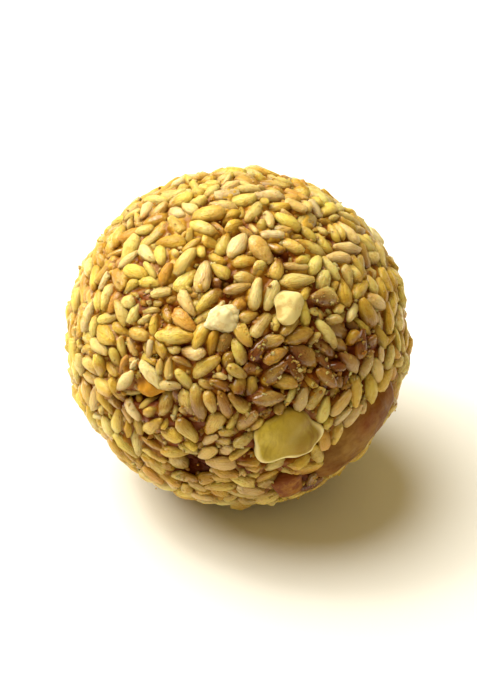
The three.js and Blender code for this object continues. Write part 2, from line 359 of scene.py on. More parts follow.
packing = {
    "steps": 150,
    "start": 7,
    "drift": 0.35 * mm,  # of a seed from its place in the even pattern it starts in
    "edgeTilt": (0.8, 1.5),  # of a seed that stands on its edge
    "scale": (0.68, 1.12),
    "layerTurn": 1.7,  # of the second layer's pattern
    "room": np.array([0.3, 0.3, 0.6]) * mm,  # round nuts and gaps, where no seed starts
    "overNut": np.array([0.1, 0.1, 0]) * mm,  # how far seeds may reach over a nut's rim
    "palmEdge": 0.72, "palmShare": 0.75, "palmSpread": 0.35,  # how many seeds lie as the palms rolled them
    "layerSplit": 1 * mm,  # seeds that start above this are the ones that show
    "relist": 12,  # steps between two searches for neighbours
    "near": 1.12,  # how far apart neighbours can be, in seed lengths
    "watch": 0.35 * mm,  # how near their balls must be
    "shell": 1.8 * mm,  # how deep the pressed seeds reach
    "depths": 0.42 * mm,  # spread of the depths that the top seeds rest at
    "pull": 0.25,  # how hard each is drawn there
    "flatness": 0.006,  # how hard a palm turns a seed to lie flat
    "moveRate": 0.45, "turnRate": 0.35, "maxMove": 0.12 * mm, "maxTurn": 0.12,
    "nutReach": 2 * mm, "maxPush": 0.5 * mm,  # how far round a nut balls are tested, and pushed in one step
    "floorGap": 0.01 * mm,
}
seedLayers = [
    {"count": 1180, "sink": 0.5 * mm, "tilt": 0.55, "edgewise": 0.3},
    {"count": 700, "sink": 1.1 * mm, "tilt": 0.7, "edgewise": 0.4},
]
# Balls that fill a seed: along and across in half lengths and half widths, radius in half thicknesses.
seedBalls = np.array([
    (-0.62, 0, 1), (-0.28, 0.36, 0.98), (-0.28, -0.36, 0.98), (0.12, 0.28, 0.95), (0.12, -0.28, 0.95),
    (0.48, 0, 0.9), (0.8, 0, 0.62),
])
# Seeds that stand out in the front: right, up, heading from up the ball in degrees, size and kind.
accents = [
    (-0.335, 0.01, 92, 1.28, "golden"), (0.12, 0.23, 52, 1.15, "pale"), (0.34, 0.34, 92, 1.28, "pale"),
    (0.09, 0.06, 62, 1.15, "golden"), (0.02, 0.29, 80, 0.9, "pale"), (-0.295, 0.19, 115, 1.0, "pale"),
    (-0.41, 0.13, 100, 1.15, "golden"), (-0.2, -0.14, 38, 1.15, "golden"), (-0.51, 0.49, 80, 1.0, "pale"),
    (-0.645, 0.43, -15, 0.85, "pale"), (-0.745, 0.15, 40, 0.9, "golden"), (-0.79, -0.045, 75, 1.0, "pale"),
    (0.665, 0.53, -22, 1.2, "pale"), (0.59, 0.45, -35, 1.15, "pale"), (0.22, 0.565, 88, 1.0, "pale"),
    (0.42, 0.8, 80, 0.95, "pale"), (0.1, 0.74, 92, 1.1, "golden"), (-0.355, -0.19, 0, 0.75, "pale"),
    (-0.4, -0.28, 78, 0.75, "pale"), (-0.19, -0.55, 35, 0.75, "pale"), (-0.1, -0.37, -25, 1.05, "golden"),
    (0.125, -0.37, 88, 1.15, "golden"), (-0.46, -0.51, 70, 1.05, "golden"), (-0.7, -0.48, 5, 1.05, "golden"),
    (0.35, -0.42, 15, 0.95, "pale"), (0.515, -0.375, 3, 1.1, "golden"), (0.61, -0.46, 45, 0.8, "pale"),
    (-0.64, -0.245, 20, 0.95, "pale"), (-0.76, -0.19, 85, 0.9, "golden"), (-0.49, -0.05, 5, 0.7, "pale"),
    (-0.47, -0.16, 0, 0.6, "pale"), (-0.6, -0.06, -50, 0.75, "pale"), (-0.43, 0.4, 5, 0.95, "toasted"),
    (-0.59, 0.345, 80, 1.1, "golden"), (-0.745, 0.34, 0, 0.85, "pale"), (-0.3, 0.4, -20, 1.15, "pale"),
    (-0.37, 0.64, 85, 1.1, "golden"), (-0.2, 0.62, 95, 1.1, "golden"), (-0.35, 0.73, 72, 1.0, "pale"),
    (-0.13, 0.53, 95, 1.1, "golden"), (-0.41, 0.26, 60, 0.8, "golden"), (-0.55, 0.06, 80, 0.95, "toasted"),
    (-0.85, 0.12, 8, 1.05, "pale"), (-0.66, 0.15, -40, 1.0, "golden"), (0.42, 0.53, -10, 1.2, "golden"),
    (0.53, 0.38, 10, 0.9, "golden"), (0.75, 0.255, 95, 1.1, "golden"), (0.5, 0.67, 92, 1.1, "pale"),
    (0.16, 0.69, 60, 0.8, "pale"), (0.14, -0.82, 60, 0.85, "golden"), (0.42, -0.82, 10, 0.7, "pale"),
    (0.1, -0.22, 90, 1.0, "toasted"), (0.22, -0.12, 85, 1.0, "toasted"), (-0.82, -0.34, -12, 1.0, "pale"),
]
accentForm = {"scale": 0.94, "hold": 0.2, "width": 0.87}  # they move less, and are slimmer
seedKinds = {"golden": 0.82, "pale": 0.13, "toasted": 0.05}
kindNames = list(seedKinds)


def goldenSpiral(count, turn):
    k = np.arange(count)
    z = 1 - (2 * k + 1) / count
    angle = k * math.pi * (3 - math.sqrt(5)) + turn
    flat = np.sqrt(1 - z * z)
    return np.stack([flat * np.cos(angle), flat * np.sin(angle), z], axis=1)


def turned(axes, turn):
    # every set of axes (in columns) turned about its own turn vector
    angle = np.linalg.norm(turn, axis=1, keepdims=True) + 1e-12
    about = (turn / angle)[:, None, :]
    cosine, sine = np.cos(angle)[..., None], np.sin(angle)[..., None]
    rows = np.swapaxes(axes, 1, 2)
    along = about * (rows * about).sum(-1, keepdims=True)
    rows = rows * cosine + np.cross(about, rows) * sine + along * (1 - cosine)
    return np.swapaxes(rows, 1, 2)


def sideAndUp(directions):
    # two ways along the ball's surface, from another pole near the top and bottom
    pole = np.where(np.abs(directions[:, 2:3]) > 0.97, [[1.0, 0, 0]], [[0, 0, 1.0]])
    side = unit(np.cross(pole, directions))
    return side, np.cross(directions, side)


def lyingAxes(directions, heading, tilt, tiltWay):
    # a seed's length, width and thickness axes: it lies on the ball, turned by heading and then tilted
    side, up = sideAndUp(directions)
    along = up * np.cos(heading)[:, None] + side * np.sin(heading)[:, None]
    across = np.cross(directions, along)
    axes = np.stack([along, across, directions], axis=2)
    about = along * np.cos(tiltWay)[:, None] + across * np.sin(tiltWay)[:, None]
    return turned(axes, about * tilt[:, None])


def alongPalm(spots):
    # heading of the way that the palms rolled the ball's rim, seen from the front
    side, up = sideAndUp(spots)
    way = np.cross(seenAt(0, 0), spots)
    return np.arctan2((way * side).sum(1), (way * up).sum(1))


def seedFreePieces():
    # everything that the seeds keep out of: nut pieces, crumbs, gaps and the crease
    pieces = [{**nut, "half": nut["half"] - packing["overNut"]} for nut in nutFrames.values()]
    for crumb in crumbs:
        axes, place = standOn(crumb, crumbForm["proud"])
        half = np.array(crumb["size"]) * crumb.get("room", crumbForm["room"]) * mm
        pieces.append({"axes": axes, "place": place, "half": half})
    for at, radius in gaps:
        pieces.append({"axes": np.eye(3), "place": at * outerRadius(at), "half": np.full(3, radius)})
    axes, place = standOn(crease, seedSize["proud"])
    pieces.append({"axes": axes, "place": place, "half": np.array(crease["clear"]) * mm})
    return [{"boxy": 1, **piece} for piece in pieces]


seedFree = seedFreePieces()


def clearOf(places, room):
    keep = np.ones(len(places), bool)
    for piece in seedFree:
        local = (places - piece["place"]) @ piece["axes"] / (piece["half"] + room)
        keep &= (local ** 2).sum(1) > 1
    return keep


def startSeeds(rng):
    spots, sinks, tilts, ways = [], [], [], []
    for k, layer in enumerate(seedLayers):
        count = layer["count"]
        drift = rng.normal(0, packing["drift"] / meanRadius, (count, 3))
        spots.append(unit(goldenSpiral(count, packing["layerTurn"] * k) + drift))
        sinks.append(np.full(count, layer["sink"]))
        onEdge = rng.random(count) < layer["edgewise"]
        leaning = rng.normal(0, layer["tilt"], count)
        standing = rng.choice([-1, 1], count) * rng.uniform(*packing["edgeTilt"], count)
        tilts.append(np.where(onEdge, standing, leaning))
        ways.append(np.where(onEdge, 0, rng.uniform(0, 2 * math.pi, count)))
    spots, sinks, tilts, ways = [np.concatenate(lists) for lists in (spots, sinks, tilts, ways)]
    count = len(spots)
    seeds = {
        "spot": spots,
        "sink": sinks,
        "tilt": tilts,
        "heading": rng.uniform(0, 2 * math.pi, count),
        "tiltWay": ways,
        "scale": rng.uniform(*packing["scale"], count),
        "hold": np.ones(count),
        "kind": rng.choice(len(kindNames), count, p=list(seedKinds.values())),
    }
    keep = clearOf(spots * (outerRadius(spots) - sinks)[:, None], packing["room"])
    rolled = (spots @ seenAt(0, 0) < packing["palmEdge"]) & (rng.random(count) < packing["palmShare"])
    palmWay = alongPalm(spots) + rng.normal(0, packing["palmSpread"], count)
    seeds["heading"] = np.where(rolled, palmWay, seeds["heading"])
    seeds = {key: values[keep] for key, values in seeds.items()}
    top = seeds["sink"] < packing["layerSplit"]
    for right, up, heading, scale, kind in accents:
        spot = seenAt(right, up)
        chosen = np.where(top, seeds["spot"] @ spot, -1).argmax()
        top[chosen] = False  # so that no other accent takes it
        seeds["spot"][chosen] = spot
        seeds["heading"][chosen] = math.radians(heading)
        seeds["tilt"][chosen] = 0
        seeds["hold"][chosen] = accentForm["hold"]
        seeds["scale"][chosen] = accentForm["scale"] * scale
        seeds["kind"][chosen] = kindNames.index(kind)
    return seeds


def nearPairs(places, points, radii):
    # the balls of neighbouring seeds that may touch in the next steps
    apart = np.linalg.norm(places[:, None] - places[None], axis=2)
    a, b = np.nonzero(np.triu(apart < packing["near"] * seedSize["length"], 1))
    balls = len(seedBalls)
    every = np.arange(balls)
    ia = (a[:, None, None] * balls + every[None, :, None] + 0 * every).ravel()
    ib = (b[:, None, None] * balls + 0 * every[None, :, None] + every).ravel()
    close = np.linalg.norm(points[ia] - points[ib], axis=1) < radii[ia] + radii[ib] + packing["watch"]
    return ia[close], ib[close]


def pushOut(points, radii, piece):
    # which balls reach into a piece that seeds keep out of, and their way out of it
    near = np.linalg.norm(points - piece["place"], axis=1) < piece["half"].max() + packing["nutReach"]
    offset = (points[near] - piece["place"]) @ piece["axes"]
    grown = piece["half"] + radii[near, None]
    share = offset / grown
    outline = outlineReach(piece, np.arctan2(share[:, 1], share[:, 0]))
    power = 2 / piece["boxy"]
    flat = (np.abs(share[:, :2]) ** power).sum(1) ** (1 / power) / outline
    level = np.hypot(flat, share[:, 2]) + 1e-9
    slope = unit(share / grown + 1e-9)
    depth = np.clip((1 / level - 1) * np.linalg.norm(offset, axis=1), 0, packing["maxPush"])
    return near, (slope * depth[:, None]) @ piece["axes"].T


def limited(steps, longest):
    return steps * np.minimum(1, longest / (np.linalg.norm(steps, axis=1, keepdims=True) + 1e-9))


def packSeeds():
    # Seeds are pushed apart where their balls overlap, in from the outside, up from the floor and off the
    # nuts, until they lie pressed together and hardly overlap.
    rng = np.random.default_rng(packing["start"])
    seeds = startSeeds(rng)
    spots, sinks, scales = seeds["spot"], seeds["sink"], seeds["scale"]
    top = sinks < packing["layerSplit"]
    count, balls = len(spots), len(seedBalls)
    axes = lyingAxes(spots, seeds["heading"], seeds["tilt"], seeds["tiltWay"])
    places = spots * (outerRadius(spots) - sinks)[:, None]
    half = np.array([seedSize["length"], seedSize["width"]]) / 2
    local = np.zeros((count, balls, 3))
    local[:, :, :2] = seedBalls[None, :, :2] * half * scales[:, None, None]
    radii = (seedBalls[None, :, 2] * seedSize["thickness"] / 2 * scales[:, None]).ravel()
    restSink = np.abs(rng.normal(0, packing["depths"], count)) * (seeds["hold"] == 1)
    for step in range(packing["steps"]):
        arms = np.einsum("nij,nkj->nki", axes, local)
        points = (places[:, None] + arms).reshape(-1, 3)
        arms = arms.reshape(-1, 3)
        if step % packing["relist"] == 0:
            ia, ib = nearPairs(places, points, radii)
        between = points[ib] - points[ia]
        distance = np.linalg.norm(between, axis=1) + 1e-9
        overlap = np.maximum(radii[ia] + radii[ib] - distance, 0)
        push = between * (0.5 * overlap / distance)[:, None]
        moves = np.zeros_like(points)
        for axis in range(3):
            moves[:, axis] = (np.bincount(ib, push[:, axis], len(points))
                              - np.bincount(ia, push[:, axis], len(points)))
        reach = np.linalg.norm(points, axis=1)
        outward = points / reach[:, None]
        shell = outerRadius(outward)
        over = reach + radii - shell
        inner = shell - packing["shell"] - (reach - radii)
        moves += outward * (np.maximum(inner, 0) - np.maximum(over, 0))[:, None]
        moves[:, 2] += np.maximum(radii - points[:, 2] - ballCentre[2], 0)
        for piece in seedFree:
            near, out = pushOut(points, radii, piece)
            moves[near] += out
        force = moves.reshape(count, balls, 3).sum(1)
        torque = np.cross(arms, moves).reshape(count, balls, 3).sum(1) / mm ** 2
        outwards = unit(places)
        seedReach = over.reshape(count, balls).max(1)
        force += outwards * (packing["pull"] * np.where(top, -restSink - seedReach, 0))[:, None]
        normals = axes[:, :, 2]
        facing = np.sign((normals * outwards).sum(1, keepdims=True))
        flatten = np.where(top, packing["flatness"], packing["flatness"] / 4)
        torque += np.cross(normals, outwards * facing) * flatten[:, None]
        hold = seeds["hold"][:, None]
        places = places + limited(packing["moveRate"] * force * hold, packing["maxMove"])
        axes = turned(axes, limited(packing["turnRate"] * torque * hold, packing["maxTurn"]))
    print(f"packed {count} seeds, mean overlap {overlap[overlap > 0].mean() / mm:.3f} mm")
    seeds.update(place=places, axes=axes, top=top, balls=points.reshape(count, balls, 3),
                 radii=radii.reshape(count, balls))
    return seeds


seeds = packSeeds()


syrup = {
    "cells": 126,  # along each edge of the six faces of the sphere
    "sink": 0.74 * mm,  # below the seeds' reach
    "climb": 0.3 * mm,  # how far below a seed's top the syrup meets it
    "soakedAndShaded": -0.12 * mm,  # both lie this much lower where it has soaked in
    "grains": 0.2 * mm, "grainSize": 1.1 * mm,  # crystal lumps there
    "softness": 0.19 * mm,  # how softly it climbs the seeds
    "uneven": 0.1 * mm, "unevenSize": 5 * mm,
    "seedReach": 2.6 * mm,  # how far round a seed's middle the seed can lift it
    "fall": 2.5,  # how steeply it falls away beside a seed
    "underNut": 0.9 * mm, "inGap": 0.5 * mm, "gapShare": 0.4,  # how deep it sinks there
    "aboveFloor": 0.02 * mm,
}


def quadSphere(cells):
    # six warped squares that close into a sphere with cells of nearly one size
    line = np.tan(np.linspace(-math.pi / 4, math.pi / 4, cells + 1))
    u, v = np.meshgrid(line, line, indexing="ij")
    points, quads = [], []
    corner = (np.arange(cells)[:, None] * (cells + 1) + np.arange(cells)[None]).ravel()
    ring = np.stack([corner, corner + cells + 1, corner + cells + 2, corner + 1], axis=1)
    for axis in range(3):
        for sign in (1, -1):
            side = np.empty(u.shape + (3,))
            side[..., axis] = sign
            side[..., (axis + 1) % 3] = u
            side[..., (axis + 2) % 3] = v
            quads.append((ring if sign == 1 else ring[:, ::-1]) + len(points) * u.size)
            points.append(side.reshape(-1, 3))
    points = unit(np.concatenate(points))
    _, first, index = np.unique(np.round(points, 6), axis=0, return_index=True, return_inverse=True)
    index = index.ravel()
    return points[first], index[np.concatenate(quads)], index.reshape(6, cells + 1, cells + 1)


def levelAt(directions, levels, grid):
    # the syrup's level in any direction, between the four nearest points of the sphere
    cells = grid.shape[1] - 1
    axis = np.abs(directions).argmax(1)
    rows = np.arange(len(directions))
    main = directions[rows, axis]
    face = axis * 2 + (main < 0)
    spots = [np.arctan(directions[rows, (axis + k) % 3] / np.abs(main)) for k in (1, 2)]
    u, v = [np.clip((spot / (math.pi / 2) + 0.5) * cells, 0, cells - 1e-6) for spot in spots]
    i, j = u.astype(int), v.astype(int)
    fu, fv = u - i, v - j
    table = levels[grid]
    return ((table[face, i, j] * (1 - fu) + table[face, i + 1, j] * fu) * (1 - fv)
            + (table[face, i, j + 1] * (1 - fu) + table[face, i + 1, j + 1] * fu) * fv)


def syrupLevels(directions):
    outer = outerRadius(directions)
    grains = ballWaves(directions, syrup["grainSize"], 8, 9)
    higher = soakAndShadeAt(directions) * (syrup["soakedAndShaded"] + syrup["grains"] * grains)
    uneven = syrup["uneven"] * ballWaves(directions, syrup["unevenSize"], 3)
    base = outer - syrup["sink"] + higher + uneven
    soft = syrup["softness"]
    total = np.exp((base - outer) / soft)
    for balls, radii in zip(seeds["balls"], seeds["radii"]):
        middle = unit(balls.mean(0))
        near = np.flatnonzero(directions @ middle > math.cos(syrup["seedReach"] / meanRadius))
        along = balls @ directions[near].T
        aside = np.sqrt(np.maximum((balls ** 2).sum(1)[:, None] - along ** 2, 0))
        inside = np.sqrt(np.maximum(radii[:, None] ** 2 - aside ** 2, 0))
        cap = along + inside - syrup["fall"] * np.maximum(aside - radii[:, None], 0)
        cap = cap - syrup["climb"] + higher[near]
        total[near] += np.exp(np.minimum((cap.max(0) - outer[near]) / soft, 0))
    return outer + soft * np.log(total)


def cutForNuts(directions, levels):
    # under a nut piece the syrup stays below the nut's own surface, and it sinks into the gaps
    points = directions * levels[:, None]
    for nut in nutFrames.values():
        local = (points - nut["place"]) @ nut["axes"] / nut["half"]
        outline = outlineReach(nut, np.arctan2(local[:, 1], local[:, 0]))
        share = np.hypot(local[:, 0], local[:, 1]) / outline
        inside = (share < 1) & (local[:, 2] > -1)
        levels = levels - np.where(inside, (1 - np.clip(share, 0, 1) ** 4) * syrup["underNut"], 0)
    for at, radius in gaps:
        away = angleTo(directions, at) * meanRadius
        levels = levels - (syrup["inGap"] + syrup["gapShare"] * radius) * fade(away, radius)
    return levels


def cutCrease(directions, levels):
    axes, place = standOn(crease, 0)
    local = (directions * levels[:, None] - place) @ axes
    share = (local[:, 0] / (crease["length"] / 2)) ** 2
    share += (local[:, 1] / (crease["width"] * crease["syrupWidth"])) ** 2
    near = (share < 1) & (local[:, 2] > -crease["length"])
    return levels - np.where(near, crease["depth"] * crease["syrupDepth"] * (1 - share), 0)


def meshFrom(name, points, faces):
    mesh = bpy.data.meshes.new(name)
    mesh.from_pydata(points.tolist(), [], faces)
    mesh.validate()
    mesh.shade_smooth()
    return mesh


def addAttribute(mesh, name, values):
    # a number, a whole number or a vector for every point
    whole, vectors = values.dtype.kind == "i", values.ndim == 2
    kind = "FLOAT_VECTOR" if vectors else "INT" if whole else "FLOAT"
    numbers = values.astype(np.int32 if whole else np.float32).ravel()
    mesh.attributes.new(name, kind, "POINT").data.foreach_set("vector" if vectors else "value", numbers)


def addPiece(name, mesh, slot, *nodes):
    piece = addObject(name, mesh)
    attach(piece, "root")
    if nodes:
        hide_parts(*nodes)


directions, syrupFaces, syrupGrid = quadSphere(syrup["cells"])
levels = cutCrease(directions, cutForNuts(directions, syrupLevels(directions)))
syrupPoints = directions * levels[:, None] + ballCentre
syrupPoints[:, 2] = np.maximum(syrupPoints[:, 2], syrup["aboveFloor"])
syrupMesh = meshFrom("syrup_binder", syrupPoints, syrupFaces.tolist())
syrupDepth = (outerRadius(directions) - levels) / mm
addAttribute(syrupMesh, "depth", syrupDepth)
addAttribute(syrupMesh, "soakShade", soakAndShadeAt(directions))
print(f"syrup has {len(syrupFaces)} faces, depth mean {syrupDepth.mean():.2f} mm")


# Pinch draws the tip in, bend and lean curve the seed, and a cut under 1 breaks its tip off.
seedShapes = [
    {"pinch": 0.16, "bend": 0.05, "lean": 0.04, "plump": 1.0, "cut": 1},
    {"pinch": 0.24, "bend": -0.06, "lean": -0.07, "plump": 0.86, "cut": 1},
    {"pinch": 0.1, "bend": 0.12, "lean": 0.0, "plump": 1.1, "cut": 1},
    {"pinch": 0.3, "bend": 0.0, "lean": 0.1, "plump": 0.95, "cut": 1},
    {"pinch": 0.2, "bend": -0.1, "lean": -0.03, "plump": 1.04, "cut": 0.8},
    {"pinch": 0.05, "bend": 0.08, "lean": -0.1, "plump": 0.8, "cut": 1},
    {"pinch": 0.12, "bend": 0.15, "lean": 0.06, "plump": 0.75, "cut": 0.6},
    {"pinch": 0.22, "bend": -0.05, "lean": 0.05, "plump": 1.12, "cut": 1},
]
seedForm = {
    "rings": 6, "sides": 8, "belly": 0.06, "taper": 0.16,
    "dent": 0.085, "dentSize": 1.4, "wobble": 0.042, "wobbleSize": 0.8,
    "cut": 0.75,  # how much goes of what lies beyond the cut
}


def ringFaces(rings, sides):
    # faces over rings of points, closed at both ends by the two points that follow the rings
    faces = []
    for ring in range(rings - 1):
        for k in range(sides):
            a, b = ring * sides + k, ring * sides + (k + 1) % sides
            faces.append((a, a + sides, b + sides, b))
    end, last = rings * sides, (rings - 1) * sides
    for k in range(sides):
        after = (k + 1) % sides
        faces += [(end, k, after), (end + 1, last + after, last + k)]
    return faces


def shapeObject(name, points, faces):
    mesh = meshFrom(name, points, faces)
    addAttribute(mesh, "grain", points)
    return bpy.data.objects.new(name, mesh)


def seedShape(index, shape):
    # a drop-shaped seed of half length 1, blunt at -x and drawn to a point at +x
    rings, sides = seedForm["rings"], seedForm["sides"]
    x = -np.cos(np.linspace(0, math.pi, rings + 2)[1:-1])
    around = np.arange(sides) * 2 * math.pi / sides
    girth = np.sqrt(1 - x ** 2) * (1 - shape["pinch"] * x - seedForm["belly"] * x ** 2)
    y = girth[:, None] * np.cos(around)
    z = (np.sqrt(1 - x ** 2) ** 0.9 * (1 - seedForm["taper"] * x))[:, None] * np.sin(around)
    points = np.stack([np.repeat(x[:, None], sides, 1), y, z * shape["plump"]], axis=2).reshape(-1, 3)
    points = np.concatenate([points, [[-1, 0, 0], [1, 0, 0]]])
    points *= 1 + seedForm["dent"] * waves(points, seedForm["dentSize"], 40 + index)[:, None]
    wobble = [waves(points, seedForm["wobbleSize"], 60 + 3 * index + k) for k in range(3)]
    points += seedForm["wobble"] * np.stack(wobble, axis=1)
    points[:, 1] += shape["lean"] * (points[:, 0] ** 2 - 0.4)
    points[:, 2] += shape["bend"] * (points[:, 0] ** 2 - 0.4) * 1.5
    points[:, 0] -= seedForm["cut"] * np.maximum(points[:, 0] - shape["cut"], 0)
    return shapeObject(f"seedShape{index}", points, ringFaces(rings, sides))


def scatterTree():
    # shapes of a collection on a mesh's points, turned, sized and picked by the points' attributes
    tree = bpy.data.node_groups.new("seedScatter", "GeometryNodeTree")
    addSocket(tree, "Geometry", "Geometry")
    addSocket(tree, "Collection", "Shapes")
    for name in ("length", "width", "thickness"):
        addSocket(tree, "Float", name.capitalize(), seedSize[name])
    addSocket(tree, "Int", "Tone Seed", 1)
    addSocket(tree, "Material", "Finish")
    addSocket(tree, "Geometry", "Geometry", way="OUTPUT")
    given = addNode(tree, "NodeGroupInput").outputs
    shapes = addNode(tree, "GeometryNodeCollectionInfo", {
        "Collection": given["Shapes"], "Separate Children": True, "Reset Children": True,
    })
    named = {}
    for name, kind in (("turn", "FLOAT_VECTOR"), ("girth", "FLOAT_VECTOR"), ("shape", "INT")):
        node = addNode(tree, "GeometryNodeInputNamedAttribute", {"Name": name}, data_type=kind)
        named[name] = node.outputs["Attribute"]
    rotation = addNode(tree, "FunctionNodeEulerToRotation", {"Euler": named["turn"]})
    size = addNode(tree, "ShaderNodeCombineXYZ", {
        "X": given["Length"], "Y": given["Width"], "Z": given["Thickness"],
    })
    halved = addNode(tree, "ShaderNodeVectorMath", {0: size.outputs[0], "Scale": 0.5}, operation="SCALE")
    scale = addNode(tree, "ShaderNodeVectorMath", {0: halved.outputs[0], 1: named["girth"]},
                    operation="MULTIPLY")
    place = addNode(tree, "GeometryNodeInstanceOnPoints", {
        "Points": given["Geometry"], "Instance": shapes.outputs["Instances"], "Pick Instance": True,
        "Instance Index": named["shape"], "Rotation": rotation.outputs["Rotation"], "Scale": scale.outputs[0],
    })
    tone = addNode(tree, "FunctionNodeRandomValue", {"Seed": given["Tone Seed"]}, data_type="FLOAT")
    store = addNode(tree, "GeometryNodeStoreNamedAttribute", {
        "Geometry": place.outputs["Instances"], "Name": "tone", "Value": tone.outputs["Value"],
    }, data_type="FLOAT", domain="INSTANCE")
    real = addNode(tree, "GeometryNodeRealizeInstances", {"Geometry": store.outputs["Geometry"]})
    finish = addNode(tree, "GeometryNodeSetMaterial", {
        "Geometry": real.outputs["Geometry"], "Material": given["Finish"],
    })
    addNode(tree, "NodeGroupOutput", {"Geometry": finish.outputs["Geometry"]})
    layOut(tree)
    return tree


def eulersOf(axes):
    # XYZ Euler angles of each set of axes in columns
    y = np.arcsin(np.clip(-axes[:, 2, 0], -1, 1))
    x = np.arctan2(axes[:, 2, 1], axes[:, 2, 2])
    z = np.arctan2(axes[:, 1, 0], axes[:, 0, 0])
    return np.stack([x, y, z], axis=1)


def scattered(name, inputs, places, axes, girth, shape):
    # the scatter tree's result on these places, as a plain mesh
    points = bpy.data.meshes.new(name + "_places")
    points.from_pydata((places + ballCentre).tolist(), [], [])
    addAttribute(points, "turn", eulersOf(axes))
    addAttribute(points, "girth", girth)
    addAttribute(points, "shape", shape)
    carrier = addObject(name + "_places", points)
    modifier = carrier.modifiers.new("scatter", "NODES")
    modifier.node_group = scatter
    for socket in scatter.interface.items_tree:
        if socket.in_out == "INPUT" and socket.name in inputs:
            modifier[socket.identifier] = inputs[socket.name]
    depsgraph = bpy.context.evaluated_depsgraph_get()
    mesh = bpy.data.meshes.new_from_object(carrier.evaluated_get(depsgraph), preserve_all_data_layers=True,
                                           depsgraph=depsgraph)
    mesh.name = name
    carrier.modifiers.remove(modifier)
    bpy.data.objects.remove(carrier)
    mesh.shade_smooth()
    return mesh


def pointsOf(mesh):
    flat = np.empty(len(mesh.vertices) * 3, np.float32)
    mesh.vertices.foreach_get("co", flat)
    return flat.reshape(-1, 3).astype(float)


def restOnFloor(mesh):
    points = pointsOf(mesh)
    points[:, 2] = np.maximum(points[:, 2], packing["floorGap"])
    mesh.vertices.foreach_set("co", points.ravel())


def markWetAndShade(mesh, share=1):
    # how far each point stands clear of the syrup, in mm, for the amber stain and painted shade round every
    # seed, and its share of the soak field with its painted shade
    offset = pointsOf(mesh) - ballCentre
    away = unit(offset)
    clear = np.linalg.norm(offset, axis=1) - levelAt(away, levels, syrupGrid)
    addAttribute(mesh, "clear", clear / mm)
    addAttribute(mesh, "soakShade", share * soakAndShadeAt(away))


def triangles(mesh):
    return sum(len(face.vertices) - 2 for face in mesh.polygons)


def remap(value, low, high, toLow=0.0, toHigh=1.0, smooth=False):
    inputs = {"Value": value, "From Min": low, "From Max": high, "To Min": toLow, "To Max": toHigh}
    way = "SMOOTHSTEP" if smooth else "LINEAR"
    return addNode(value.id_data, "ShaderNodeMapRange", inputs, interpolation_type=way).outputs["Result"]


def blend(factor, first, second):
    # mixes two colours, each a socket or written as rrggbb
    first, second = [linear(color) if isinstance(color, str) else color for color in (first, second)]
    inputs = {"Factor": factor, 6: first, 7: second}
    return addNode(factor.id_data, "ShaderNodeMix", inputs, data_type="RGBA").outputs[2]


def noise(vector, scale, detail=3):
    inputs = {"Vector": vector, "Scale": scale, "Detail": detail, "Roughness": 0.6}
    return addNode(vector.id_data, "ShaderNodeTexNoise", inputs).outputs["Fac"]


def calc(operation, *values):
    # a math node on sockets and numbers, the first of them a socket
    inputs = dict(enumerate(values))
    return addNode(values[0].id_data, "ShaderNodeMath", inputs, operation=operation).outputs[0]


def fromMesh(tree, name, socket="Fac"):
    return addNode(tree, "ShaderNodeAttribute", attribute_name=name).outputs[socket]


def onObject(tree):
    return addNode(tree, "ShaderNodeTexCoord").outputs["Object"]


def stretched(vector, scale):
    return addNode(vector.id_data, "ShaderNodeMapping", {"Vector": vector, "Scale": scale}).outputs["Vector"]


def alongOf(vector):
    return addNode(vector.id_data, "ShaderNodeSeparateXYZ", {0: vector}).outputs["X"]


def bumped(height, strength, distance):
    inputs = {"Height": height, "Strength": strength, "Distance": distance}
    return addNode(height.id_data, "ShaderNodeBump", inputs).outputs["Normal"]


def ramp(value, first, last, *between):
    # a colour ramp through stops of position and colour
    node = addNode(value.id_data, "ShaderNodeValToRGB", {"Fac": value})
    stops = node.color_ramp.elements
    for stop, (position, code) in zip(stops, (first, last)):
        stop.position = position
        stop.color = linear(code)
    for position, code in between:
        stops.new(position).color = linear(code)
    return node.outputs["Color"]


seedColors = {
    "golden": ("c2982e", "e8d060", "e7da90"),
    "pale": ("dcbe72", "e8d296", "f0e2b2"),
    "toasted": ("bc8830", "d4a444", "e6c06c"),
}
bitColors = ("a06418", "d4a440", "fbe8a4")
# Stain And Shade also paints shade round each seed's waterline, between it and its neighbours.
skinColors = {
    "Low Tone": "b07f28", "Mid Tone": "d6a53c", "High Tone": "ebc863", "Glaze": "cb9420", "Stain And Shade": "7a460a",
}


